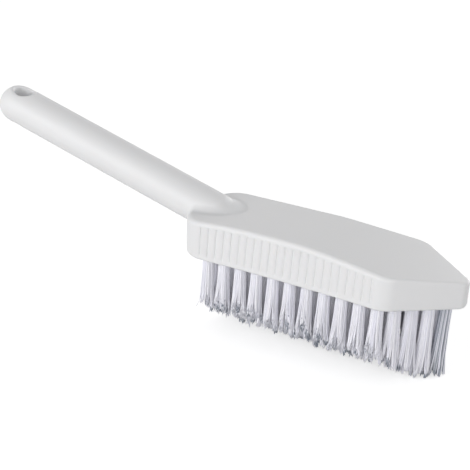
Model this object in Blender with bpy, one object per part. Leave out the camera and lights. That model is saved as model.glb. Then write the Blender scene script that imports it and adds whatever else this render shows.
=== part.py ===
"""Hand scrub brush: a one-piece moulded body with a bar handle, and bristle tufts seated in blind holes.

World frame: +X from the handle's end to the nose, +Y to the left, +Z up. The longest bristles end at
Z = 0, and the origin is under the middle of the overall length. The body and the tufts are modelled
from the point where the block's end wall meets its underside. Sizes are in metres and radians.
"""

import math
import random

import bmesh
import bpy
from mathutils import Matrix, Vector

# Whole brush
OVERALL_LENGTH = 0.2666
BLOCK_LENGTH = 0.1369
TRIM = 0.0386  # from the underside to the ends of the longest bristles

# Block in plan, at its top edge: waisted for the fingers, with a blunt pointed nose
END_WIDTH = 0.0486
WAIST_WIDTH = 0.0468
SHOULDER_WIDTH = 0.0510
WAIST_FROM_END = 0.038
NOSE_ANGLE = math.radians(77)  # between the two nose faces
END_CORNER_RADIUS = 0.003
SHOULDER_RADIUS = 0.012
NOSE_RADIUS = 0.005

# Block in side view: the top rises to a flat land and falls away to the nose
END_HEIGHT = 0.0187
LAND_HEIGHT = 0.0206
LAND_START = 0.0255
LAND_END = 0.0615
NOSE_HEIGHT = 0.0137
NOSE_FALL_POWER = 1.3

# Block walls
SIDE_FLARE = 0.0014  # the side walls lean out towards the underside
TOP_EDGE_RADIUS = 0.0015
FOOT_EDGE_RADIUS = 0.0010  # under the side walls
FOOT_NOSE_RADIUS = 0.0020  # under the end wall and the nose's tip

# Grip grooves, upright in both side walls
GROOVE_PITCH = 0.00409
GROOVE_WIDTH = 0.0012
GROOVE_DEPTH = 0.0005
FIRST_GROOVE = 0.0092
GROOVE_FOOT_GAP = 0.0010
GROOVE_RUNOUT = 0.0009
GROOVE_NOSE_GAP = 0.0015

# Handle: an oval bar, round at its end, that sinks at a slant into the block
HANDLE_WIDTH = 0.0222
HANDLE_THICKNESS = 0.0198
HANDLE_ANGLE = math.radians(15.2)
HANDLE_ENTRY_HEIGHT = 0.0165  # of its axis, where it meets the block's end wall
HANDLE_END_DEPTH = 0.0104
HANDLE_FLARE = 0.0009
HANDLE_FLARE_LENGTH = 0.006
HANDLE_BURIED = 0.036
HANDLE_FLOOR = 0.003  # from the underside to the handle's buried end

# Hanging hole, upright through the handle's end, with a flared rim above and below
HANG_HOLE_DIAMETER = 0.0110
HANG_RIM_DIAMETER = 0.0148
HANG_RIM_DEPTH = 0.0024
HANG_HOLE_FROM_END = 0.0138

# Tuft holes, and the rows of tufts: two rows follow the outline and one lies between them
TUFT_HOLE_DIAMETER = 0.0052
TUFT_HOLE_DEPTH = 0.0100
ROW_SPACING = 0.0097
FIRST_TUFT = 0.0114
NOSE_INSET = 0.0076  # from a nose face to the outer row
ROW_TURN = 0.0022  # the outer rows turn in this much before they would meet that inset
INNER_SHIFT = 0.0015  # of the inner rows, towards the nose
OUTER_SIDE_STEPS = 10
OUTER_NOSE_STEPS = 4
INNER_TUFTS = 10
CENTRE_TUFTS = 9

# Tufts
TUFT_CLEARANCE = 0.0003
STRANDS = 8
STRAND_GAP = 0.00024
STRAND_TIP_SCALE = 1.35
SPLAY = 0.0013
LEAN = 0.0002
CROWN_DROP = 0.0090  # how much shorter the outer rows are than the centre row
CROWN_POWER = 2.5
RAGGED = 0.0010
FLAT_CUT = 0.0005
ANCHOR_HEIGHT = 0.0012
ANCHOR_THICKNESS = 0.0005

# Fineness of the round shapes
CORNER_STEPS = 5
TOP_EDGE_STEPS = 3
FOOT_EDGE_STEPS = 2
HANDLE_SIDES = 24
HANDLE_END_STEPS = 5
HANG_HOLE_SIDES = 20
SHARP_ANGLE = math.radians(35)

QUARTER_TURN = math.pi / 2
NOSE_HALF_ANGLE = NOSE_ANGLE / 2
APEX = BLOCK_LENGTH + NOSE_RADIUS * (1 / math.sin(NOSE_HALF_ANGLE) - 1)
SHOULDER = APEX - SHOULDER_WIDTH / 2 / math.tan(NOSE_HALF_ANGLE)
HANDLE_LENGTH = OVERALL_LENGTH - BLOCK_LENGTH


def make_material(name, color, roughness):
    material = bpy.data.materials.new(name)
    material.use_nodes = True
    shader = material.node_tree.nodes["Principled BSDF"]
    shader.inputs["Base Color"].default_value = (*color, 1)
    shader.inputs["Roughness"].default_value = roughness
    shader.inputs["Metallic"].default_value = 0
    return material


def add_object(name, bm, parent=None, material=None):
    mesh = bpy.data.meshes.new(name)
    bmesh.ops.recalc_face_normals(bm, faces=bm.faces)
    bm.to_mesh(mesh)
    bm.free()
    mesh.shade_smooth()
    mesh.set_sharp_from_angle(angle=SHARP_ANGLE)
    if material:
        mesh.materials.append(material)
    obj = bpy.data.objects.new(name, mesh)
    bpy.context.scene.collection.objects.link(obj)
    obj.parent = parent
    return obj


def apply_tool(body, name, bm, operation):
    """Joins a shape to the body, or cuts it away."""
    tool = add_object(name, bm, body)
    tool.hide_render = True
    tool.display_type = "WIRE"
    modifier = body.modifiers.new(name, "BOOLEAN")
    modifier.operation = operation
    modifier.solver = "EXACT"
    modifier.object = tool


def extrude(bm, face):
    """Extrudes a face on the spot and returns the new one, whose corners keep their order."""
    grown = bmesh.ops.extrude_face_region(bm, geom=[face, *face.edges])["geom"]
    return next(item for item in grown if isinstance(item, bmesh.types.BMFace))


def side_half_width(x):
    """Half the block's width at its top edge, before the nose."""
    if x < WAIST_FROM_END:
        edge, reach = END_WIDTH, WAIST_FROM_END
    else:
        edge, reach = SHOULDER_WIDTH, SHOULDER - WAIST_FROM_END
    bow = ((x - WAIST_FROM_END) / reach) ** 2
    return (WAIST_WIDTH + (edge - WAIST_WIDTH) * bow) / 2


def side_slope(x):
    step = GROOVE_WIDTH
    return (side_half_width(x + step) - side_half_width(x - step)) / (2 * step)


def top_height(x):
    """Height of the block's top over its underside."""
    if x < LAND_START:
        short = 1 - max(x, 0) / LAND_START
        return LAND_HEIGHT - (LAND_HEIGHT - END_HEIGHT) * short**2
    past = max(x - LAND_END, 0) / (BLOCK_LENGTH - LAND_END)
    return LAND_HEIGHT - (LAND_HEIGHT - NOSE_HEIGHT) * past**NOSE_FALL_POWER


def arc(centre, radius, start, end, steps):
    """Points along an arc, each with its outward normal and its groove share, which is none."""
    points = []
    for step in range(steps + 1):
        angle = start + (end - start) * step / steps
        normal = Vector((math.cos(angle), math.sin(angle)))
        points.append((centre + radius * normal, normal, 0))
    return points


def half_outline():
    """The left half of the block's top edge, from end wall to nose: (point, normal, groove share) each."""
    corner = Vector((END_CORNER_RADIUS, side_half_width(END_CORNER_RADIUS) - END_CORNER_RADIUS))
    points = arc(corner, END_CORNER_RADIUS, math.pi, QUARTER_TURN, CORNER_STEPS)

    lean = math.atan(side_slope(SHOULDER - GROOVE_WIDTH))
    tangent = SHOULDER_RADIUS * math.tan((lean + NOSE_HALF_ANGLE) / 2)
    side_end = Vector((SHOULDER - tangent * math.cos(lean), SHOULDER_WIDTH / 2 - tangent * math.sin(lean)))
    groove_room = side_end.x - GROOVE_NOSE_GAP - FIRST_GROOVE
    for groove in range(1 + math.floor(groove_room / GROOVE_PITCH)):
        for across in (-1, 0, 1):
            x = FIRST_GROOVE + GROOVE_PITCH * groove + GROOVE_WIDTH / 2 * across
            normal = Vector((-side_slope(x), 1)).normalized()
            points.append((Vector((x, side_half_width(x))), normal, 1 - abs(across)))

    shoulder_normal = QUARTER_TURN + lean
    nose_normal = QUARTER_TURN - NOSE_HALF_ANGLE
    centre = side_end - SHOULDER_RADIUS * Vector((math.cos(shoulder_normal), math.sin(shoulder_normal)))
    points += arc(centre, SHOULDER_RADIUS, shoulder_normal, nose_normal, CORNER_STEPS)
    points += arc(Vector((BLOCK_LENGTH - NOSE_RADIUS, 0)), NOSE_RADIUS, nose_normal, 0, CORNER_STEPS)
    return points


def block_levels():
    """From the underside up: (share of the block's height, added height, offset, groove share) each."""
    levels = []
    for step in range(FOOT_EDGE_STEPS + 1):
        angle = QUARTER_TURN * step / FOOT_EDGE_STEPS
        rise, inset = 1 - math.cos(angle), 1 - math.sin(angle)
        levels.append((0, FOOT_EDGE_RADIUS * rise, -FOOT_EDGE_RADIUS * inset, 0))
    groove_foot = FOOT_EDGE_RADIUS + GROOVE_FOOT_GAP
    levels.append((0, groove_foot, 0, 0))
    levels.append((0, groove_foot + GROOVE_RUNOUT, 0, 1))
    levels.append((1, -TOP_EDGE_RADIUS - GROOVE_RUNOUT, 0, 1))
    for step in range(TOP_EDGE_STEPS + 1):
        angle = QUARTER_TURN * step / TOP_EDGE_STEPS
        drop, inset = 1 - math.sin(angle), 1 - math.cos(angle)
        levels.append((1, -TOP_EDGE_RADIUS * drop, -TOP_EDGE_RADIUS * inset, 0))
    return levels


def block_ring(height_share, added, offset, groove_share):
    """The block's outline at one level, as a closed ring of places."""
    half = []
    for point, normal, in_groove in half_outline():
        height = top_height(point.x)
        endwise = (1 - height_share) * abs(normal.x)
        rounding = 1 + (FOOT_NOSE_RADIUS / FOOT_EDGE_RADIUS - 1) * endwise
        z = height_share * height + rounding * added
        wall = max(0, 1 - z / (height - TOP_EDGE_RADIUS))
        flare = SIDE_FLARE * wall * normal.y
        x, y = point + (rounding * offset + flare - GROOVE_DEPTH * groove_share * in_groove) * normal
        z += height_share * (top_height(x) - height)
        half.append(Vector((x, y, z)))
    half[-1].y = 0
    return half + [Vector((place.x, -place.y, place.z)) for place in reversed(half[:-1])]


def make_block():
    """The block, extruded from its underside through the levels of its wall."""
    rings = [block_ring(*level) for level in block_levels()]
    bm = bmesh.new()
    face = bm.faces.new([bm.verts.new(place) for place in rings[0]])
    for ring in rings[1:]:
        face = extrude(bm, face)
        for vert, place in zip(face.verts, ring):
            vert.co = place
    # The top curves along its length only, so it is split from side to side.
    around = list(face.verts)
    for number in range(1, len(around) // 2):
        left, right = around[number], around[-1 - number]
        open_face = next(item for item in left.link_faces if right in item.verts)
        bmesh.utils.face_split(open_face, left, right)
    return bm


def handle_matrix():
    """Puts the handle's own axis, along its -X, where it rises from the block."""
    return Matrix.Translation((0, 0, HANDLE_ENTRY_HEIGHT)) @ Matrix.Rotation(HANDLE_ANGLE, 4, "Y")


def make_handle():
    """The bar, extruded ring by ring from inside the block to its round end."""
    across = HANDLE_THICKNESS / 2 * math.sin(HANDLE_ANGLE)
    end_reach = math.hypot(HANDLE_END_DEPTH * math.cos(HANDLE_ANGLE), across)
    end = (HANDLE_LENGTH - end_reach) / math.cos(HANDLE_ANGLE)
    third = HANDLE_FLARE_LENGTH / 3
    rings = [(-HANDLE_BURIED, HANDLE_FLARE, 1), (-third, HANDLE_FLARE, 1)]
    rings += [(third, HANDLE_FLARE / 3, 1), (HANDLE_FLARE_LENGTH, 0, 1), (end, 0, 1)]
    for step in range(1, HANDLE_END_STEPS):
        angle = QUARTER_TURN * step / HANDLE_END_STEPS
        rings.append((end + HANDLE_END_DEPTH * math.sin(angle), 0, math.cos(angle)))

    bm = bmesh.new()
    bmesh.ops.create_circle(bm, cap_ends=True, radius=1, segments=HANDLE_SIDES)
    face = bm.faces[:][0]
    around = [vert.co.copy() for vert in face.verts]
    for number, (along, extra, share) in enumerate(rings):
        if number > 0:
            face = extrude(bm, face)
        for vert, unit in zip(face.verts, around):
            y = unit.x * (HANDLE_WIDTH / 2 + extra) * share
            z = unit.y * (HANDLE_THICKNESS / 2 + extra) * share
            vert.co = (-along, y, z)
    face = extrude(bm, face)
    bmesh.ops.pointmerge(bm, verts=face.verts[:], merge_co=(-end - HANDLE_END_DEPTH, 0, 0))

    bmesh.ops.transform(bm, matrix=handle_matrix(), verts=bm.verts)
    whole = bm.verts[:] + bm.edges[:] + bm.faces[:]
    floor = (0, 0, HANDLE_FLOOR)
    bmesh.ops.bisect_plane(bm, geom=whole, plane_co=floor, plane_no=(0, 0, 1), clear_inner=True)
    bmesh.ops.edgeloop_fill(bm, edges=[edge for edge in bm.edges if edge.is_boundary])
    return bm


def add_cone(bm, matrix, radius_low, radius_high, low, high, sides):
    """A turned cutter along its own Z, between two heights."""
    middle = Matrix.Translation((0, 0, (low + high) / 2))
    bmesh.ops.create_cone(
        bm,
        cap_ends=True,
        segments=sides,
        radius1=radius_low,
        radius2=radius_high,
        depth=high - low,
        matrix=matrix @ middle,
    )


def hang_hole_centre():
    """Where the hanging hole crosses the handle's axis."""
    from_entry = HANDLE_LENGTH - HANG_HOLE_FROM_END
    return Vector((-from_entry, 0, HANDLE_ENTRY_HEIGHT + from_entry * math.tan(HANDLE_ANGLE)))


def make_hang_hole():
    bm = bmesh.new()
    radius = HANG_HOLE_DIAMETER / 2
    upright = Matrix.Translation(hang_hole_centre())
    add_cone(bm, upright, radius, radius, -HANDLE_THICKNESS, HANDLE_THICKNESS, HANG_HOLE_SIDES)
    return bm


def make_hang_rims():
    """The hanging hole's flares, square to the handle's upper and lower surfaces."""
    bm = bmesh.new()
    slope = (HANG_RIM_DIAMETER - HANG_HOLE_DIAMETER) / 2 / HANG_RIM_DEPTH
    low, high = -2 * HANG_RIM_DEPTH, HANG_RIM_DEPTH
    middle = HANG_RIM_DIAMETER / 2
    rise = HANDLE_THICKNESS / 2 / math.cos(HANDLE_ANGLE)
    for side, turn in ((1, HANDLE_ANGLE), (-1, HANDLE_ANGLE + math.pi)):
        place = Matrix.Translation(hang_hole_centre() + Vector((0, 0, side * rise)))
        place @= Matrix.Rotation(turn, 4, "Y")
        add_cone(bm, place, middle + low * slope, middle + high * slope, low, high, HANG_HOLE_SIDES)
    return bm


def row_path(inset, y):
    """The corner and the tip of a row that runs at y and then follows the nose, inset from it."""
    tip = APEX - inset / math.sin(NOSE_HALF_ANGLE)
    return tip - y / math.tan(NOSE_HALF_ANGLE), tip


def tuft_places():
    """The name and the place in plan of every tuft."""
    meeting, outer_tip = row_path(NOSE_INSET, 2 * ROW_SPACING)
    _, inner_tip = row_path(NOSE_INSET + ROW_SPACING, 0)
    corner = meeting - ROW_TURN
    pitch = (corner - FIRST_TUFT) / OUTER_SIDE_STEPS
    outer = [(FIRST_TUFT + pitch * step, 2 * ROW_SPACING) for step in range(OUTER_SIDE_STEPS)]
    for step in range(OUTER_NOSE_STEPS):
        past = step / OUTER_NOSE_STEPS
        outer.append((corner + past * (outer_tip - corner), 2 * ROW_SPACING * (1 - past)))
    inner = [(FIRST_TUFT + INNER_SHIFT + pitch * step, ROW_SPACING) for step in range(INNER_TUFTS)]
    places = []
    for name, row, tip in (("outer", outer, outer_tip), ("inner", inner, inner_tip)):
        for number, (x, y) in enumerate(row, 1):
            places.append((f"tuft_{name}_left_{number:02d}", Vector((x, y, 0))))
            places.append((f"tuft_{name}_right_{number:02d}", Vector((x, -y, 0))))
        places.append((f"tuft_{name}_nose", Vector((tip, 0, 0))))
    first = FIRST_TUFT + pitch / 2
    for number in range(CENTRE_TUFTS):
        x = first + (inner_tip - first) * number / CENTRE_TUFTS
        places.append((f"tuft_centre_{number + 1:02d}", Vector((x, 0, 0))))
    return places


def half_step_turn():
    """Turns a tuft and its hole so that flats, not corners, face along the rows."""
    return Matrix.Rotation(math.pi / STRANDS, 4, "Z")


def make_tuft_holes(places):
    bm = bmesh.new()
    radius = TUFT_HOLE_DIAMETER / 2
    for _, place in places:
        mouth = Matrix.Translation(place) @ half_step_turn()
        add_cone(bm, mouth, radius, radius, -TUFT_HOLE_DEPTH, TUFT_HOLE_DEPTH, STRANDS)
    return bm


def trimmed_height(y, ragged):
    """Height over the standing plane at which a strand is cut: crowned from side to side, then cut flat."""
    drop = CROWN_DROP * (abs(y) / (2 * ROW_SPACING)) ** CROWN_POWER
    return max(0, drop + ragged - FLAT_CUT)


def raise_anchor(bm):
    """The flat anchor across the fold of the strands, at the root's upper end."""
    fold = [max(bm.faces, key=lambda face: face.calc_center_median().z)]
    for side in (-1, 1):
        geom = fold + list(dict.fromkeys(edge for face in fold for edge in face.edges))
        at = (0, side * ANCHOR_THICKNESS / 2, 0)
        cut = bmesh.ops.bisect_plane(bm, geom=geom, plane_co=at, plane_no=(0, 1, 0))
        fold = [item for item in cut["geom"] if isinstance(item, bmesh.types.BMFace)]
    strip = min(fold, key=lambda face: abs(face.calc_center_median().y))
    top = extrude(bm, strip)
    bmesh.ops.translate(bm, verts=top.verts[:], vec=(0, 0, ANCHOR_HEIGHT))


def make_tuft(place, dice):
    """One tuft, from its hole's mouth: the packed root and its anchor above, the strands below."""
    bm = bmesh.new()
    radius = TUFT_HOLE_DIAMETER / 2 - TUFT_CLEARANCE
    root = TUFT_HOLE_DEPTH - TUFT_CLEARANCE - ANCHOR_HEIGHT
    top = Matrix.Translation((0, 0, root)) @ half_step_turn()
    bmesh.ops.create_circle(bm, cap_ends=True, radius=radius, segments=STRANDS, matrix=top)
    mouth = extrude(bm, bm.faces[:][0])
    bmesh.ops.translate(bm, verts=mouth.verts[:], vec=(0, 0, -root))
    raise_anchor(bm)

    wedges = bmesh.ops.poke(bm, faces=[mouth])["faces"]
    bmesh.ops.inset_individual(bm, faces=wedges, thickness=STRAND_GAP)
    tips = bmesh.ops.extrude_discrete_faces(bm, faces=wedges)["faces"]
    lean = Vector((dice.uniform(-LEAN, LEAN), dice.uniform(-LEAN, LEAN), 0))
    for tip in tips:
        centre = tip.calc_center_median()
        moved = centre + SPLAY * centre.normalized() + lean
        moved.z = trimmed_height(place.y + moved.y, dice.uniform(0, RAGGED)) - TRIM
        for vert in tip.verts:
            vert.co = moved + STRAND_TIP_SCALE * (vert.co - centre)
    return bm


def main():
    for obj in list(bpy.data.objects):
        bpy.data.objects.remove(obj)

    plastic = make_material("white_plastic", (0.80, 0.81, 0.83), 0.35)
    bristle = make_material("white_bristle", (0.78, 0.78, 0.86), 0.45)
    places = tuft_places()

    body = add_object("brush_body", make_block(), material=plastic)
    body.location = (OVERALL_LENGTH / 2 - BLOCK_LENGTH, 0, TRIM)
    apply_tool(body, "handle_bar", make_handle(), "UNION")
    apply_tool(body, "hang_hole", make_hang_hole(), "DIFFERENCE")
    apply_tool(body, "hang_rims", make_hang_rims(), "DIFFERENCE")
    apply_tool(body, "tuft_holes", make_tuft_holes(places), "DIFFERENCE")

    dice = random.Random(8)
    for name, place in places:
        tuft = add_object(name, make_tuft(place, dice), body, bristle)
        tuft.location = place


main()
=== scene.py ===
import math
import random

import bmesh
import bpy
from mathutils import Euler, Matrix, Vector


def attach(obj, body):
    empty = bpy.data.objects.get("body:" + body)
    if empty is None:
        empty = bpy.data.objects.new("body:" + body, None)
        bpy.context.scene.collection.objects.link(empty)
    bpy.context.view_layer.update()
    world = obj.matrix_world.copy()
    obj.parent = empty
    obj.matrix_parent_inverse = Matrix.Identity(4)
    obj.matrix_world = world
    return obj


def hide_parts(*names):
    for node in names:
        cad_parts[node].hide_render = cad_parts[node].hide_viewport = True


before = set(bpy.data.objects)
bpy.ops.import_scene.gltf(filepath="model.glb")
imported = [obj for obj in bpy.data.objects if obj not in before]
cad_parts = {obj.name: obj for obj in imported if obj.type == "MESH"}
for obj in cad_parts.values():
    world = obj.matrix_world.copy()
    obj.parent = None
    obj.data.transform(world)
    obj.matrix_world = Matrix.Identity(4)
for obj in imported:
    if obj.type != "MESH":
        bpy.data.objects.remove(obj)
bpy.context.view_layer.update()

# The camera looks down on the brush from its right side and its nose, through a long lens, so the
# handle runs away to the left and the bristles face the picture.
camera_data = bpy.data.cameras.new("camera")
camera_data.sensor_width = 36
camera_data.lens = 86.157
camera = bpy.data.objects.new("camera", camera_data)
bpy.context.scene.collection.objects.link(camera)
camera.location = (0.2481, -0.4643, 0.2682)
camera.rotation_euler = Euler((math.radians(66.732), math.radians(-3.17), math.radians(28.341)))
bpy.context.scene.camera = camera

# The body is one moulding of white polypropylene, block and handle together. The tool leaves it
# satin, with a faint grain on the skin, and the plastic glows a little where light gets into it.
body_plastic = bpy.data.materials.new("moulded_white_polypropylene")
body_plastic.use_nodes = True
nodes = body_plastic.node_tree.nodes
links = body_plastic.node_tree.links
shader = nodes["Principled BSDF"]
shader.inputs["Roughness"].default_value = 0.42
shader.inputs["IOR"].default_value = 1.49
shader.inputs["Subsurface Weight"].default_value = 0.15
shader.inputs["Subsurface Radius"].default_value = (0.0018, 0.0016, 0.0014)
shader.inputs["Subsurface Scale"].default_value = 1.0
place = nodes.new("ShaderNodeTexCoord")
cloud = nodes.new("ShaderNodeTexNoise")
cloud.inputs["Scale"].default_value = 22
cloud.inputs["Detail"].default_value = 4
links.new(place.outputs["Object"], cloud.inputs["Vector"])
tint = nodes.new("ShaderNodeMix")
tint.data_type = "RGBA"
tint.inputs["A"].default_value = (0.765, 0.765, 0.775, 1)
tint.inputs["B"].default_value = (0.785, 0.785, 0.79, 1)
links.new(cloud.outputs["Fac"], tint.inputs["Factor"])
links.new(tint.outputs["Result"], shader.inputs["Base Color"])
grain = nodes.new("ShaderNodeTexNoise")
grain.inputs["Scale"].default_value = 2600
grain.inputs["Detail"].default_value = 2
links.new(place.outputs["Object"], grain.inputs["Vector"])
relief = nodes.new("ShaderNodeBump")
relief.inputs["Strength"].default_value = 0.12
relief.inputs["Distance"].default_value = 0.0001
links.new(grain.outputs["Fac"], relief.inputs["Height"])
links.new(relief.outputs["Normal"], shader.inputs["Normal"])

# The block is waisted for the fingers, flares to its foot and ends in a blunt point. Its top rises
# to a flat land and falls to the nose, and shallow upright grooves let the hand grip both walls.
OVERALL_LENGTH = 0.2666
BLOCK_LENGTH = 0.1369
TRIM = 0.0386
END_WIDTH = 0.0512
WAIST_WIDTH = 0.0464
SHOULDER_WIDTH = 0.0539
WAIST_FROM_END = 0.038
NOSE_HALF_ANGLE = math.radians(38.5)
END_REACH = 0.0039
END_CORNER_RADIUS = 0.012
SHOULDER_RADIUS = 0.012
NOSE_RADIUS = 0.005
END_HEIGHT = 0.0191
LAND_HEIGHT = 0.0206
LAND_START = 0.042
LAND_END = 0.0615
NOSE_HEIGHT = 0.0133
NOSE_FALL_POWER = 1.25
WAIST_FLARE = 0.0010
SIDE_FLARE = 0.0004
END_DRAFT = 0.0008
TOP_EDGE_RADIUS = 0.0024
TOP_EDGE_MARGIN = 0.0005
TOP_NOSE_RADIUS = 0.0014
TOP_NOSE_REACH = 1.6
FOOT_EDGE_RADIUS = 0.0010
FOOT_NOSE_RADIUS = 0.0020
FOOT_END_RADIUS = 0.0018
GROOVES = 23
GROOVE_PITCH = 0.00409
GROOVE_WIDTH = 0.0012
GROOVE_DEPTH = 0.0005
FIRST_GROOVE = 0.0092
GROOVE_FOOT_GAP = 0.0010
GROOVE_TOP_GAP = 0.0002
GROOVE_RUNOUT = 0.0009
RUNOUT_STEPS = 4
GROOVE_STEPS = 6
CORNER_STEPS = 14
EDGE_STEPS = 7
QUARTER_TURN = math.pi / 2
CORNER_X = END_CORNER_RADIUS - END_REACH
NOSE_APEX = BLOCK_LENGTH + NOSE_RADIUS * (1 / math.sin(NOSE_HALF_ANGLE) - 1)
SHOULDER = NOSE_APEX - SHOULDER_WIDTH / 2 / math.tan(NOSE_HALF_ANGLE)


def from_waist(x):
    """0 at the waist, growing to 1 at the block's end and at its shoulder."""
    return (x - WAIST_FROM_END) / (WAIST_FROM_END if x < WAIST_FROM_END else SHOULDER - WAIST_FROM_END)


def wall_out(x):
    """Half the block's width at its top edge, before the nose."""
    widest = END_WIDTH if x < WAIST_FROM_END else SHOULDER_WIDTH
    return (WAIST_WIDTH + (widest - WAIST_WIDTH) * from_waist(x) ** 2) / 2


def wall_slope(x):
    """How fast the side wall moves out along the block, measured over a groove's width to each side."""
    return (wall_out(x + GROOVE_WIDTH) - wall_out(x - GROOVE_WIDTH)) / (2 * GROOVE_WIDTH)


def block_top(x):
    """Height of the block's top over its underside."""
    if x < LAND_START:
        return LAND_HEIGHT - (LAND_HEIGHT - END_HEIGHT) * (1 - max(x, 0) / LAND_START) ** 2
    past = max(x - LAND_END, 0) / (BLOCK_LENGTH - LAND_END)
    return LAND_HEIGHT - (LAND_HEIGHT - NOSE_HEIGHT) * past**NOSE_FALL_POWER


def turned(centre, radius, start, end, steps):
    """Places along an arc in plan, each with its outward direction, and no groove."""
    found = []
    for step in range(steps + 1):
        angle = start + (end - start) * step / steps
        outward = Vector((math.cos(angle), math.sin(angle)))
        found.append((centre + radius * outward, outward, 0))
    return found


def left_edge():
    """The left half of the block's edge in plan, from the end wall round to the nose."""
    corner = Vector((CORNER_X, wall_out(CORNER_X) - END_CORNER_RADIUS))
    edge = turned(corner, END_CORNER_RADIUS, math.pi, QUARTER_TURN, CORNER_STEPS)
    for groove in range(GROOVES):
        for step in range(GROOVE_STEPS + 1):
            across = 2 * step / GROOVE_STEPS - 1
            x = FIRST_GROOVE + GROOVE_PITCH * groove + GROOVE_WIDTH / 2 * across
            outward = Vector((-wall_slope(x), 1)).normalized()
            edge.append((Vector((x, wall_out(x))), outward, math.cos(QUARTER_TURN * across) ** 2))
    lean = math.atan(wall_slope(SHOULDER - GROOVE_WIDTH))
    tangent = SHOULDER_RADIUS * math.tan((lean + NOSE_HALF_ANGLE) / 2)
    wall_end = Vector((SHOULDER - tangent * math.cos(lean), SHOULDER_WIDTH / 2 - tangent * math.sin(lean)))
    start = QUARTER_TURN + lean
    nose_side = QUARTER_TURN - NOSE_HALF_ANGLE
    centre = wall_end - SHOULDER_RADIUS * Vector((math.cos(start), math.sin(start)))
    edge += turned(centre, SHOULDER_RADIUS, start, nose_side, CORNER_STEPS)
    return edge + turned(Vector((BLOCK_LENGTH - NOSE_RADIUS, 0)), NOSE_RADIUS, nose_side, 0, CORNER_STEPS)


def drawn(bm, face):
    """Extrudes a face on the spot and returns the new one, whose corners keep their order."""
    grown = bmesh.ops.extrude_face_region(bm, geom=[face, *face.edges])["geom"]
    return next(item for item in grown if isinstance(item, bmesh.types.BMFace))


def block_ring(edge, of_height, added, offset, in_groove):
    """The block's edge at one level of its wall, as a closed ring of places."""
    half = []
    for spot, outward, groove in edge:
        top = block_top(spot.x)
        if of_height:
            at_nose = min(1, max(0, TOP_NOSE_REACH * outward.x))
            rounding = 1 + (TOP_NOSE_RADIUS / TOP_EDGE_RADIUS - 1) * at_nose
        else:
            foot_radius = FOOT_NOSE_RADIUS if outward.x > 0 else FOOT_END_RADIUS
            rounding = 1 + (foot_radius / FOOT_EDGE_RADIUS - 1) * abs(outward.x)
        z = of_height * top + rounding * added
        flare = (SIDE_FLARE + WAIST_FLARE * max(0, 1 - from_waist(spot.x) ** 2)) * outward.y
        draft = (flare + END_DRAFT * min(0, outward.x)) * max(0, 1 - z / (top - TOP_EDGE_RADIUS))
        x, y = spot + (rounding * offset + draft - GROOVE_DEPTH * in_groove * groove) * outward
        half.append(Vector((x, y, z + of_height * (block_top(x) - top))))
    half[-1].y = 0
    return half + [Vector((point.x, -point.y, point.z)) for point in reversed(half[:-1])]


edge = left_edge()
levels = []
for step in range(EDGE_STEPS + 1):
    angle = QUARTER_TURN * step / EDGE_STEPS
    levels.append((0, FOOT_EDGE_RADIUS * (1 - math.cos(angle)), FOOT_EDGE_RADIUS * (math.sin(angle) - 1), 0))
groove_foot = FOOT_EDGE_RADIUS + GROOVE_FOOT_GAP
for step in range(RUNOUT_STEPS + 1):
    share = step / RUNOUT_STEPS
    levels.append((0, groove_foot + GROOVE_RUNOUT * share, 0, math.sin(QUARTER_TURN * share)))
for step in range(RUNOUT_STEPS + 1):
    share = step / RUNOUT_STEPS
    rise = GROOVE_RUNOUT * (share - 1) - TOP_EDGE_RADIUS - GROOVE_TOP_GAP
    levels.append((1, rise, 0, math.cos(QUARTER_TURN * share)))
for step in range(EDGE_STEPS + 1):
    angle = QUARTER_TURN * step / EDGE_STEPS
    levels.append((1, TOP_EDGE_RADIUS * (math.sin(angle) - 1), TOP_EDGE_RADIUS * (math.cos(angle) - 1), 0))
levels.append((1, 0, -TOP_EDGE_RADIUS - TOP_EDGE_MARGIN, 0))

block = bmesh.new()
rings = [block_ring(edge, *level) for level in levels]
face = block.faces.new([block.verts.new(point) for point in rings[0]])
for ring in rings[1:]:
    face = drawn(block, face)
    for vert, point in zip(face.verts, ring):
        vert.co = point
around = list(face.verts)
for number in range(1, len(around) // 2):
    left, right = around[number], around[-1 - number]
    open_face = next(item for item in left.link_faces if right in item.verts)
    bmesh.utils.face_split(open_face, left, right)

# The handle is an oval bar that rises from the block at a slant. The mould blends it into the
# block's end wall and top with a soft fillet, and rounds its far end.
HANDLE_WIDTH = 0.0222
HANDLE_THICKNESS = 0.0198
HANDLE_ANGLE = math.radians(15.2)
HANDLE_ENTRY_HEIGHT = 0.0165
HANDLE_END_DEPTH = 0.0104
HANDLE_SIDES = 96
ROOT_START = 0.005
ROOT_DEPTH = 0.0105
BLEND = 0.0040
CROWN_BLEND = 0.0030
CROWN_BLEND_POWER = 3
BLEND_STEPS = 10
BLEND_SEAT = 0.0006
BURIED_DEPTH = 0.01
JOIN_STEPS = 8
HANDLE_RUN_START = 0.0135
RUN_STEPS = 60
END_STEPS = 14
DEEPEST_ENTRY = -0.034
FARTHEST_ENTRY = 0.02
HALVINGS = 40
SETTLINGS = 3
PROBE = 0.0001
HANDLE_LENGTH = OVERALL_LENGTH - BLOCK_LENGTH
end_reach = math.hypot(
    HANDLE_END_DEPTH * math.cos(HANDLE_ANGLE), HANDLE_THICKNESS / 2 * math.sin(HANDLE_ANGLE)
)
HANDLE_RUN_END = (HANDLE_LENGTH - end_reach) / math.cos(HANDLE_ANGLE)
onto_block = Matrix.Translation((0, 0, HANDLE_ENTRY_HEIGHT)) @ Matrix.Rotation(HANDLE_ANGLE, 4, "Y")
off_block = onto_block.inverted()


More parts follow.
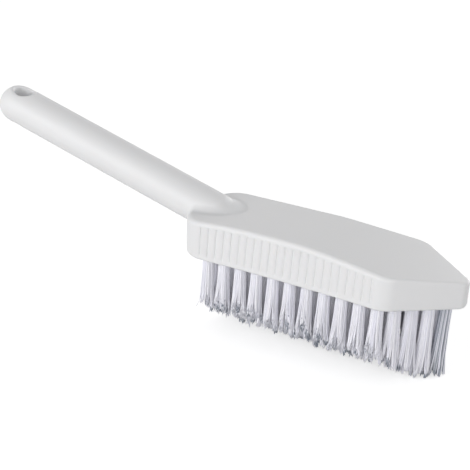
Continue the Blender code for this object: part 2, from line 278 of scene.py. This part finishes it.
def bar_spot(along, turn):
    """A place on the bar's skin, at a distance along it and an angle round it."""
    past = max(0, along - HANDLE_RUN_END) / HANDLE_END_DEPTH + max(0, -along - ROOT_START) / ROOT_DEPTH
    share = math.sqrt(1 - min(1, past) ** 2)
    y = HANDLE_WIDTH / 2 * share * math.sin(turn)
    return onto_block @ Vector((-along, y, HANDLE_THICKNESS / 2 * share * math.cos(turn)))


def bar_outward(turn):
    """The direction straight out of the bar's skin, at an angle round it."""
    outward = Vector((0, math.sin(turn) / HANDLE_WIDTH, math.cos(turn) / HANDLE_THICKNESS))
    return (onto_block.to_3x3() @ outward).normalized()


def above_block(spot):
    """Distance of a place from the block's end wall and top, with their rounded edges."""
    along = CORNER_X - spot.x
    aside = abs(spot.y) - wall_out(CORNER_X) + END_CORNER_RADIUS
    out = math.hypot(max(along, 0), max(aside, 0)) + min(max(along, aside), 0)
    out += TOP_EDGE_RADIUS - END_CORNER_RADIUS
    out += END_DRAFT * max(0, 1 - spot.z / (block_top(spot.x) - TOP_EDGE_RADIUS))
    up = spot.z - block_top(spot.x) + TOP_EDGE_RADIUS
    return math.hypot(max(out, 0), max(up, 0)) + min(max(out, up), 0) - TOP_EDGE_RADIUS


def block_outward(spot):
    """The direction straight out of the block at a place on its skin."""
    steps = (PROBE * Vector(axis) for axis in ((1, 0, 0), (0, 1, 0), (0, 0, 1)))
    return Vector([above_block(spot + step) - above_block(spot - step) for step in steps]).normalized()


def where_bar_enters(turn):
    """How far along the bar its skin meets the block, at an angle round it."""
    inside, outside = DEEPEST_ENTRY, FARTHEST_ENTRY
    for _ in range(HALVINGS):
        middle = (inside + outside) / 2
        if above_block(bar_spot(middle, turn)) < 0:
            inside = middle
        else:
            outside = middle
    return middle


turns = [math.tau * number / HANDLE_SIDES for number in range(HANDLE_SIDES)]
entries = [where_bar_enters(turn) for turn in turns]
crossings = [bar_spot(along, turn) for along, turn in zip(entries, turns)]
starts = []
ends = []
for number, crossing in enumerate(crossings):
    tangent = (crossings[(number + 2) % HANDLE_SIDES] - crossings[number - 2]).normalized()
    skin = bar_outward(turns[number])
    wall = block_outward(crossing)
    up_bar = tangent.cross(skin).normalized()
    if up_bar.x > 0:
        up_bar.negate()
    over_block = wall.cross(tangent).normalized()
    if over_block.dot(skin) < 0:
        over_block.negate()
    blend = BLEND + CROWN_BLEND * max(0, math.cos(turns[number])) ** CROWN_BLEND_POWER
    on_bar = off_block @ (crossing + blend * up_bar)
    starts.append((-on_bar.x, math.atan2(on_bar.y / HANDLE_WIDTH, on_bar.z / HANDLE_THICKNESS)))
    on_block = crossing + blend * over_block
    for _ in range(SETTLINGS):
        on_block -= above_block(on_block) * block_outward(on_block)
    ends.append(on_block)
buried = [(HANDLE_WIDTH / 4 * math.sin(turn), HANDLE_THICKNESS / 4 * math.cos(turn)) for turn in turns]
rings = [[onto_block @ Vector((BURIED_DEPTH, *spot)) for spot in buried]]
rings.append([spot - BLEND_SEAT * block_outward(spot) for spot in ends])
for step in range(BLEND_STEPS + 1):
    share = 1 - step / BLEND_STEPS
    ring = []
    for start, crossing, end in zip(starts, crossings, ends):
        first = bar_spot(*start)
        ring.append((1 - share) ** 2 * first + 2 * share * (1 - share) * crossing + share**2 * end)
    rings.append(ring)
for step in range(1, JOIN_STEPS + 1):
    share = step / JOIN_STEPS
    ring = []
    for (along, turn), straight in zip(starts, turns):
        turned_by = (straight - turn + math.pi) % math.tau - math.pi
        ring.append(bar_spot(along + share * (HANDLE_RUN_START - along), turn + share * turned_by))
    rings.append(ring)
run_length = HANDLE_RUN_END - HANDLE_RUN_START
run = [HANDLE_RUN_START + run_length * step / RUN_STEPS for step in range(1, RUN_STEPS + 1)]
run += [
    HANDLE_RUN_END + HANDLE_END_DEPTH * math.sin(QUARTER_TURN * step / END_STEPS)
    for step in range(1, END_STEPS)
]
rings += [[bar_spot(along, turn) for turn in turns] for along in run]

handle = bmesh.new()
face = handle.faces.new([handle.verts.new(spot) for spot in rings[0]])
for ring in rings[1:]:
    face = drawn(handle, face)
    for vert, spot in zip(face.verts, ring):
        vert.co = spot
face = drawn(handle, face)
bmesh.ops.pointmerge(
    handle, verts=face.verts[:], merge_co=bar_spot(HANDLE_RUN_END + HANDLE_END_DEPTH, 0)
)

# A hanging hole goes upright through the handle's far end. Its mouth above and below is rounded
# over, so that a cord or a hook slides in and nothing sharp is left on the skin.
HOLE_RADIUS = 0.0055
MOUTH_RADIUS = 0.0076
MOUTH_DEPTH = 0.0026
HOLE_FROM_END = 0.0138
MOUTH_STEPS = 8
MOUTH_SIDES = 96
DRILL_LENGTH = 0.06
BORE_TOLERANCE = 0.00005
BORE_STEEPNESS = 0.5
SHARP_ANGLE = math.radians(50)
hole_x = HOLE_FROM_END - HANDLE_LENGTH
hole_middle = Vector((hole_x, 0, HANDLE_ENTRY_HEIGHT - hole_x * math.tan(HANDLE_ANGLE)))


def bar_skin(spot, side):
    """Height of the bar's skin straight above (side 1) or below (side -1) a place in plan."""
    low, high = 0, HANDLE_THICKNESS
    axis = HANDLE_ENTRY_HEIGHT - spot.x * math.tan(HANDLE_ANGLE)
    for _ in range(HALVINGS):
        middle = (low + high) / 2
        inner = off_block @ Vector((spot.x, spot.y, axis + side * middle))
        past = max(0, -inner.x - HANDLE_RUN_END) / HANDLE_END_DEPTH
        if (2 * inner.y / HANDLE_WIDTH) ** 2 + (2 * inner.z / HANDLE_THICKNESS) ** 2 + past**2 < 1:
            low = middle
        else:
            high = middle
    return axis + side * middle


def as_object(name, bm):
    """Turns a bmesh into an object at the origin, with its faces pointing out."""
    bmesh.ops.recalc_face_normals(bm, faces=bm.faces)
    mesh = bpy.data.meshes.new(name)
    bm.to_mesh(mesh)
    bm.free()
    piece = bpy.data.objects.new(name, mesh)
    bpy.context.scene.collection.objects.link(piece)
    return piece


solid_handle = as_object("solid_handle", handle)
drill = bmesh.new()
bmesh.ops.create_cone(
    drill,
    cap_ends=True,
    segments=MOUTH_SIDES,
    radius1=MOUTH_RADIUS,
    radius2=MOUTH_RADIUS,
    depth=DRILL_LENGTH,
    matrix=Matrix.Translation(hole_middle),
)
drill = as_object("drill", drill)
cut = solid_handle.modifiers.new("hanging_hole", "BOOLEAN")
cut.operation = "DIFFERENCE"
cut.solver = "EXACT"
cut.object = drill
bpy.context.view_layer.update()
graph = bpy.context.evaluated_depsgraph_get()
handle = bmesh.new()
handle.from_mesh(solid_handle.evaluated_get(graph).to_mesh())
for helper in (solid_handle, drill):
    bpy.data.objects.remove(helper)


def on_bore(face):
    """Whether a face is part of the straight bore that the drill left."""
    reaches = [(vert.co - hole_middle).to_2d().length for vert in face.verts]
    on_wall = all(abs(reach - MOUTH_RADIUS) < BORE_TOLERANCE for reach in reaches)
    return on_wall and abs(face.normal.z) < BORE_STEEPNESS


bore = [face for face in handle.faces if on_bore(face)]
bmesh.ops.delete(handle, geom=bore, context="FACES")
mouths = [edge for edge in handle.edges if edge.is_boundary]
throats = []
for side in (1, -1):
    loop = [edge for edge in mouths if side * (edge.verts[0].co.z - hole_middle.z) > 0]
    lip = {vert: vert.co.copy() for edge in loop for vert in edge.verts}
    for step in range(1, MOUTH_STEPS + 1):
        share = step / MOUTH_STEPS
        grown = bmesh.ops.extrude_edge_only(handle, edges=loop)["geom"]
        loop = [item for item in grown if isinstance(item, bmesh.types.BMEdge)]
        fresh = {}
        for vert in {vert for edge in loop for vert in edge.verts}:
            start = next(lip[other] for edge in vert.link_edges for other in edge.verts if other in lip)
            outward = Vector((start.x - hole_x, start.y, 0)).normalized()
            corner = hole_middle + HOLE_RADIUS * outward
            corner.z = bar_skin(corner, side)
            deep = corner - Vector((0, 0, side * MOUTH_DEPTH))
            vert.co = (1 - share) ** 2 * start + 2 * share * (1 - share) * corner + share**2 * deep
            fresh[vert] = start
        lip = fresh
    throats += loop
bmesh.ops.bridge_loops(handle, edges=throats)

handle_mesh = bpy.data.meshes.new("handle")
handle.to_mesh(handle_mesh)
handle.free()
block.from_mesh(handle_mesh)
bpy.data.meshes.remove(handle_mesh)
bmesh.ops.translate(block, verts=block.verts, vec=(OVERALL_LENGTH / 2 - BLOCK_LENGTH, 0, TRIM))
body = as_object("body_moulding", block)
body.data.shade_smooth()
body.data.set_sharp_from_angle(angle=SHARP_ANGLE)
body.data.materials.append(body_plastic)
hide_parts("brush_body")
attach(body, "root")

# Each tuft is a bundle of straight polyester filaments, folded round a flat anchor and punched
# into its blind hole. It leaves the hole packed, fans out, and is trimmed to a crown with the others.
FILAMENTS = 180
FILAMENT_RADIUS = 0.00024
BUNDLE_RADIUS = 0.00250
SEATED = 0.0012
DEPTHS = (0.08, 0.4, 0.72, 0.93, 0.97, 1.0)
# Past this share of its length, shade is painted onto a filament's end, as much as its lock has
TIP_SHADE_PAINTED_BELOW = 0.93
TIP_SHARE = 0.75
GOLDEN_TURN = math.pi * (3 - math.sqrt(5))
# How wide a tuft opens, most at the block's shoulder, and which way it leans along its row
FAN = 1.72
SHOULDER_FAN = 0.5
SHOULDER_MIDDLE = 0.108
SHOULDER_SPAN = 0.012
FIRST_SPREAD = 0.18
HANDLE_END_LEAN = 0.0014
HANDLE_END_LEAN_FROM = 0.06
HANDLE_END_LEAN_SPAN = 0.18
NOSE_LEAN = 0.0012
NOSE_LEAN_FROM = 0.112
NOSE_LEAN_SPAN = 0.012
STRAY = 0.0002
WILD_STRAY = 0.0010
TAME_SHARE = 0.93
# The locks that the ends cling together in, and the painted shade on the ends of some of them
LOCKS = 9
LOCK_TURN = 0.5
LOCK_CUTS = (-0.0012, 0.0026)
LOCK_TIP_SHADE = (0, 0.05, 0.4, 1)
TIP_SHADE_KEPT = (0.6, 1)
CLING = 0.5
CLING_POWER = 6
LOCK_ROUNDING = 0.6
# The trim: a crown from side to side, which rises a little towards the handle
CROWN_DROP = 0.0088
CROWN_POWER = 2.5
OUTER_ROW = 0.0194
SLOW_RISE = 0.0008
SLOW_RISE_FROM = 0.1
SLOW_RISE_SPAN = 0.04
END_RISE = 0.0022
END_RISE_SPAN = 0.075
RAGGED = 0.0005
SHORT_SHARE = 0.15
SHORTER_BY = 0.0035
LOWEST_END = 0.0003
# How much shade is painted along each filament in turn in the tufts past here, at the nose, for the dark
# depth between filaments on the nose's shaded side
NOSE_SHADE_FROM = 0.124
NOSE_SHADE_PAINTED = (0, 0.4, 0.8, 0, 0.4)

bristle = bpy.data.materials.new("white_polyester_with_painted_shade")
bristle.use_nodes = True
nodes = bristle.node_tree.nodes
links = bristle.node_tree.links
shader = nodes["Principled BSDF"]
shader.inputs["Roughness"].default_value = 0.5
shader.inputs["IOR"].default_value = 1.5
tone = nodes.new("ShaderNodeAttribute")
tone.attribute_name = "filament_tone"
shade = nodes.new("ShaderNodeMix")
shade.data_type = "RGBA"
shade.inputs["A"].default_value = (0.905, 0.905, 0.985, 1)
shade.inputs["B"].default_value = (0.965, 0.96, 1.0, 1)
links.new(tone.outputs["Fac"], shade.inputs["Factor"])
# Painted shade: a dark blue-grey mixed over the white by this attribute, at the ends of some locks, where
# tips hang in the shade between tufts, and along some filaments of the nose tufts, on their shaded side
painted_shade_attribute = nodes.new("ShaderNodeAttribute")
painted_shade_attribute.attribute_name = "filament_painted_shade"
with_painted_shade = nodes.new("ShaderNodeMix")
with_painted_shade.data_type = "RGBA"
with_painted_shade.inputs["B"].default_value = (0.18, 0.215, 0.27, 1)
links.new(painted_shade_attribute.outputs["Fac"], with_painted_shade.inputs["Factor"])
links.new(shade.outputs["Result"], with_painted_shade.inputs["A"])
links.new(with_painted_shade.outputs["Result"], shader.inputs["Base Color"])


def hole_centre(node):
    """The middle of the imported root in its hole, at the block's underside."""
    root = [vert.co for vert in node.data.vertices if vert.co.z > TRIM + SEATED]
    middle = sum(root, Vector()) / len(root)
    return Vector((middle.x, middle.y, TRIM))


def trimmed_at(spot, lock_cut, dice):
    """The height at which a filament is cut: lowest along the middle, higher at the sides."""
    crown = CROWN_DROP * (abs(spot.y) / OUTER_ROW) ** CROWN_POWER
    toward_handle = SLOW_RISE * min(1, (SLOW_RISE_FROM - spot.x) / SLOW_RISE_SPAN)
    toward_handle += END_RISE * max(0, (END_RISE_SPAN - spot.x) / END_RISE_SPAN)
    ragged = dice.gauss(0, RAGGED) + (dice.uniform(0, SHORTER_BY) if dice.random() < SHORT_SHARE else 0)
    return max(LOWEST_END, crown + toward_handle + lock_cut + ragged)


def gather_locks(fan, dice):
    """The locks that a tuft's filaments cling together in at their ends: place, cut and how much shade is
    painted on their ends.
    """
    locks = []
    for number in range(LOCKS):
        reach = BUNDLE_RADIUS * fan * math.sqrt((number + 0.5) / LOCKS)
        angle = number * GOLDEN_TURN + dice.uniform(-LOCK_TURN, LOCK_TURN)
        place = Vector((reach * math.cos(angle), reach * math.sin(angle), 0))
        locks.append((place, dice.uniform(*LOCK_CUTS), dice.choice(LOCK_TIP_SHADE)))
    return locks


def leaning(x):
    """How far the ends of a tuft lean along its row: in from the handle's end, and in from the nose."""
    from_handle_end = HANDLE_END_LEAN * max(0, (HANDLE_END_LEAN_FROM - x) / HANDLE_END_LEAN_SPAN)
    return from_handle_end - NOSE_LEAN * max(0, (x - NOSE_LEAN_FROM) / NOSE_LEAN_SPAN)


def bundle(centre, dice):
    """The filaments of one tuft, each a thin four-sided rod drawn down from the hole."""
    bm = bmesh.new()
    tones = bm.verts.layers.float.new("filament_tone")
    ends = bm.verts.layers.float.new("filament_painted_shade")
    numbers = bm.faces.layers.int.new("filament")
    fan = FAN + SHOULDER_FAN * max(0, 1 - abs(centre.x - SHOULDER_MIDDLE) / SHOULDER_SPAN)
    locks = gather_locks(fan, dice)
    lean = Vector((leaning(centre.x) + dice.gauss(0, STRAY), dice.gauss(0, STRAY), 0))
    filaments = []
    tips = []
    for number in range(FILAMENTS):
        angle = number * GOLDEN_TURN
        reach = BUNDLE_RADIUS * math.sqrt((number + 0.5) / FILAMENTS)
        from_middle = Vector((reach * math.cos(angle), reach * math.sin(angle), 0))
        spread = (fan - 1) * from_middle
        place, lock_cut, tip_shade = min(locks, key=lambda lock: (lock[0] - from_middle - spread).length)
        to_lock = place - from_middle - spread
        stray = STRAY if dice.random() < TAME_SHARE else WILD_STRAY
        clinging = CLING * to_lock + Vector((dice.gauss(0, stray), dice.gauss(0, stray), 0))
        start = centre + from_middle
        cut = trimmed_at(start + spread, lock_cut + LOCK_ROUNDING * to_lock.length, dice)
        filaments.append((start, spread, lean, clinging, cut, tip_shade * dice.uniform(*TIP_SHADE_KEPT)))
        turn = Matrix.Rotation(dice.uniform(0, QUARTER_TURN), 4, "Z")
        top = Matrix.Translation(start + Vector((0, 0, SEATED))) @ turn
        ring = bmesh.ops.create_circle(
            bm, cap_ends=True, radius=FILAMENT_RADIUS, segments=4, matrix=top
        )["verts"]
        tone_here = dice.random()
        # Painted shade along the whole length of some filaments in the nose tufts, on their shaded side
        nose_shade = NOSE_SHADE_PAINTED[number % len(NOSE_SHADE_PAINTED)] if centre.x > NOSE_SHADE_FROM else 0
        for vert in ring:
            vert[tones] = tone_here
            vert[ends] = nose_shade
        ring[0].link_faces[0][numbers] = number
        tips.append(ring[0].link_faces[0])
    for depth in DEPTHS:
        grown = bmesh.ops.extrude_face_region(
            bm, geom=tips + [edge for face in tips for edge in face.edges]
        )["geom"]
        tips = [item for item in grown if isinstance(item, bmesh.types.BMFace)]
        opened = FIRST_SPREAD * min(1, depth / DEPTHS[0]) + (1 - FIRST_SPREAD) * depth**2
        for tip in tips:
            start, spread, lean, clinging, cut, tip_shade = filaments[tip[numbers]]
            aim = start + spread * opened + lean * depth + clinging * depth**CLING_POWER
            aim.z = TRIM + (cut - TRIM) * depth
            middle = tip.calc_center_median()
            width = TIP_SHARE if depth == 1 else 1
            for vert in tip.verts:
                vert.co = aim + width * (vert.co - middle)
                # Painted shade at the ends of the filaments in some locks, where the tips hang in the shade
                # between the tufts
                if depth > TIP_SHADE_PAINTED_BELOW:
                    vert[ends] = max(tip_shade, vert[ends])
    return bm


dice = random.Random(12)
for name in sorted(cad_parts):
    if not name.startswith("tuft_"):
        continue
    tuft = as_object(name.replace("tuft", "bristles"), bundle(hole_centre(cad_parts[name]), dice))
    tuft.data.shade_smooth()
    tuft.data.materials.append(bristle)
    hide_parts(name)
    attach(tuft, "root")

# The studio: a plain white floor under the brush. To the camera and in reflections it is white, and
# it keeps the brush's soft shadow.
FLOOR_TONE = 0.66
FLOOR_GLOW = 0.6
FLOOR_RADIUS = 6


def looked_at(nodes, links):
    """1 where the camera, a reflection or a see-through piece looks at the studio, 0 where it gives light.
    """
    path = nodes.new("ShaderNodeLightPath")
    looks = path.outputs["Is Camera Ray"]
    for kind in ("Is Glossy Ray", "Is Transmission Ray"):
        either = nodes.new("ShaderNodeMath")
        either.operation = "MAXIMUM"
        links.new(looks, either.inputs[0])
        links.new(path.outputs[kind], either.inputs[1])
        looks = either.outputs["Value"]
    return looks


floor_paint = bpy.data.materials.new("white_floor")
floor_paint.use_nodes = True
nodes = floor_paint.node_tree.nodes
links = floor_paint.node_tree.links
shader = nodes["Principled BSDF"]
shader.inputs["Base Color"].default_value = (FLOOR_TONE, FLOOR_TONE, FLOOR_TONE, 1)
shader.inputs["Roughness"].default_value = 0.9
seen = nodes.new("ShaderNodeMath")
seen.operation = "MULTIPLY"
seen.inputs[1].default_value = FLOOR_GLOW
links.new(looked_at(nodes, links), seen.inputs[0])
shader.inputs["Emission Color"].default_value = (1, 1, 1, 1)
links.new(seen.outputs["Value"], shader.inputs["Emission Strength"])
bm = bmesh.new()
bmesh.ops.create_circle(bm, cap_ends=True, radius=FLOOR_RADIUS, segments=64)
floor = as_object("floor", bm)
floor.data.materials.append(floor_paint)

# Light comes from the whole white room, brighter level with the brush than overhead, from one broad
# soft lamp in front on the handle's side, from a small low one on the nose's side, and one behind.
ROOM_LEVEL_WITH_BRUSH = 0.82
ROOM_OVERHEAD = 0.29
LAMPS_AIM_AT = Vector((0, 0, 0.04))

world = bpy.data.worlds.new("studio")
bpy.context.scene.world = world
world.use_nodes = True
nodes = world.node_tree.nodes
links = world.node_tree.links
toward = nodes.new("ShaderNodeTexCoord")
height = nodes.new("ShaderNodeSeparateXYZ")
links.new(toward.outputs["Generated"], height.inputs["Vector"])
room = nodes.new("ShaderNodeMapRange")
room.inputs["To Min"].default_value = ROOM_LEVEL_WITH_BRUSH
room.inputs["To Max"].default_value = ROOM_OVERHEAD
links.new(height.outputs["Z"], room.inputs["Value"])
level = nodes.new("ShaderNodeMapRange")
level.inputs["To Max"].default_value = 1.0
links.new(looked_at(nodes, links), level.inputs["Value"])
links.new(room.outputs["Result"], level.inputs["To Min"])
links.new(level.outputs["Result"], nodes["Background"].inputs["Strength"])
nodes["Background"].inputs["Color"].default_value = (1, 1, 1, 1)


def soft_lamp(name, place, size, power):
    """A round lamp turned towards the brush: its width in metres and its power in watts."""
    data = bpy.data.lights.new(name, "AREA")
    data.shape = "DISK"
    data.size = size
    data.energy = power
    lamp = bpy.data.objects.new(name, data)
    bpy.context.scene.collection.objects.link(lamp)
    lamp.location = place
    lamp.rotation_euler = (LAMPS_AIM_AT - Vector(place)).to_track_quat("-Z", "Y").to_euler()


soft_lamp("front_lamp", (-0.6, -1.3, 0.68), 1.2, 10.2)
soft_lamp("side_lamp", (0.62, -1.3, 0.22), 0.4, 3.0)
soft_lamp("back_lamp", (0.4, 1.4, 0.24), 1.2, 11)

bpy.context.scene.view_settings.view_transform = "Standard"
